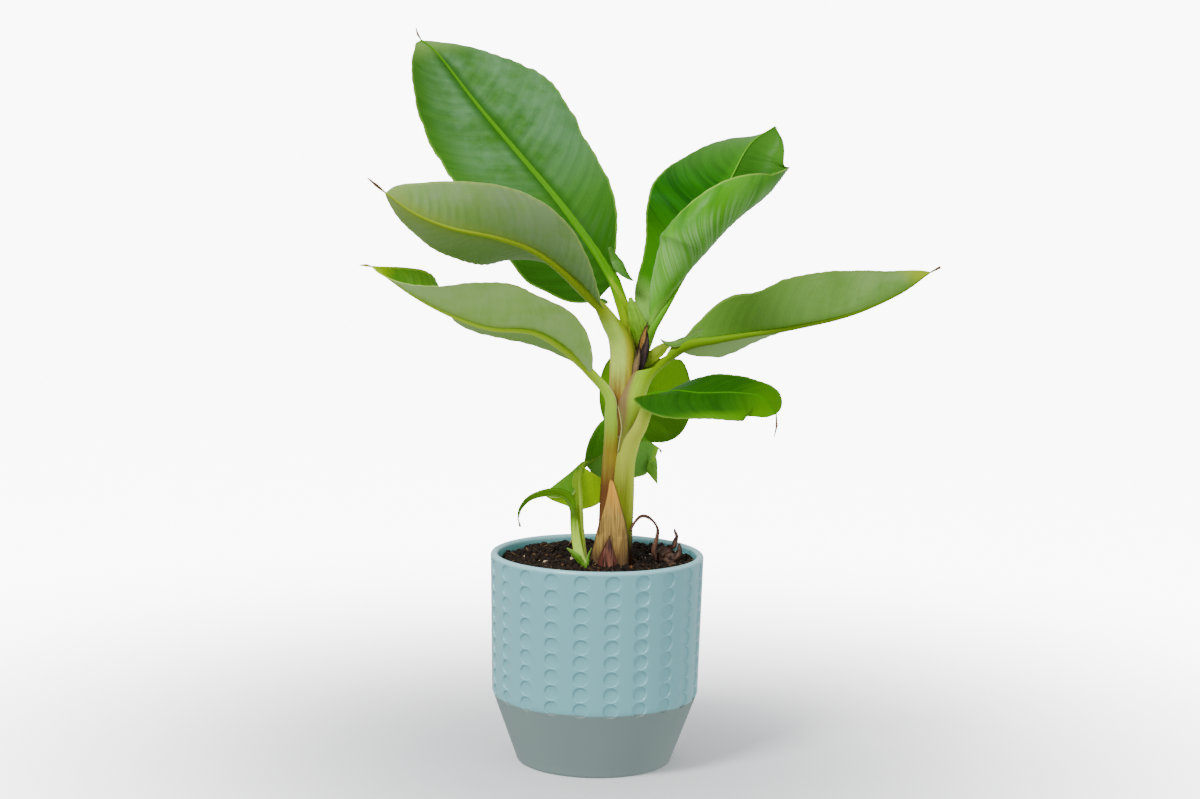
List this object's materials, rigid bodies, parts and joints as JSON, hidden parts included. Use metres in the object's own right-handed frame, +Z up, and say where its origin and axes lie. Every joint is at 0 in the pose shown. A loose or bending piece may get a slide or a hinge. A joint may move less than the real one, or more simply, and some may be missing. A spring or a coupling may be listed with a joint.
{
  "type": "potted banana plant",
  "caption": "Young banana plant with broad arching leaves on a leaning sheathed trunk, with an offshoot at its foot, in a round pot with a narrowed base.",
  "frame": {"origin": "centre of the pot's flat underside, where the plant stands", "axes": "+Z up; -Y towards the side from which the plant is usually seen; +X to the right from there"},
  "size_m": [0.4058, 0.2904, 0.5507],
  "materials": {
    "pot": "gloss teal glaze above the kink, matt grey-green below it",
    "soil": "moist crumbly potting soil",
    "stem": "satin yellow-green leaf sheaths with purple-brown mottling",
    "leaf": "satin green upper face, paler underside, light midrib",
    "young_leaf": "glossy bright green",
    "old_sheath": "dry tan and brown, fibrous",
    "dry_bract": "dry brown-black",
    "withered_leaf": "dry crumpled brown"
  },
  "bodies": {
    "root": {"pot": "pot", "soil": "soil", "trunk": "stem", "petiole_1": "stem", "petiole_2": "stem", "petiole_3": "stem", "petiole_4": "stem", "petiole_5": "stem", "petiole_6": "stem", "petiole_7": "stem", "dead_bract": "dry_bract", "old_sheath": "old_sheath", "sucker_stem": "stem", "sucker_petiole": "stem", "withered_leaf": "withered_leaf", "leaf_1": "leaf", "leaf_2": "leaf", "leaf_3": "leaf", "leaf_4": "leaf", "leaf_5": "leaf", "leaf_6": "leaf", "leaf_7": "leaf", "sucker_leaf_1": "young_leaf", "sucker_leaf_2": "young_leaf", "sucker_leaf_3": "young_leaf", "sprout": "young_leaf"}
  },
  "joints": []
}
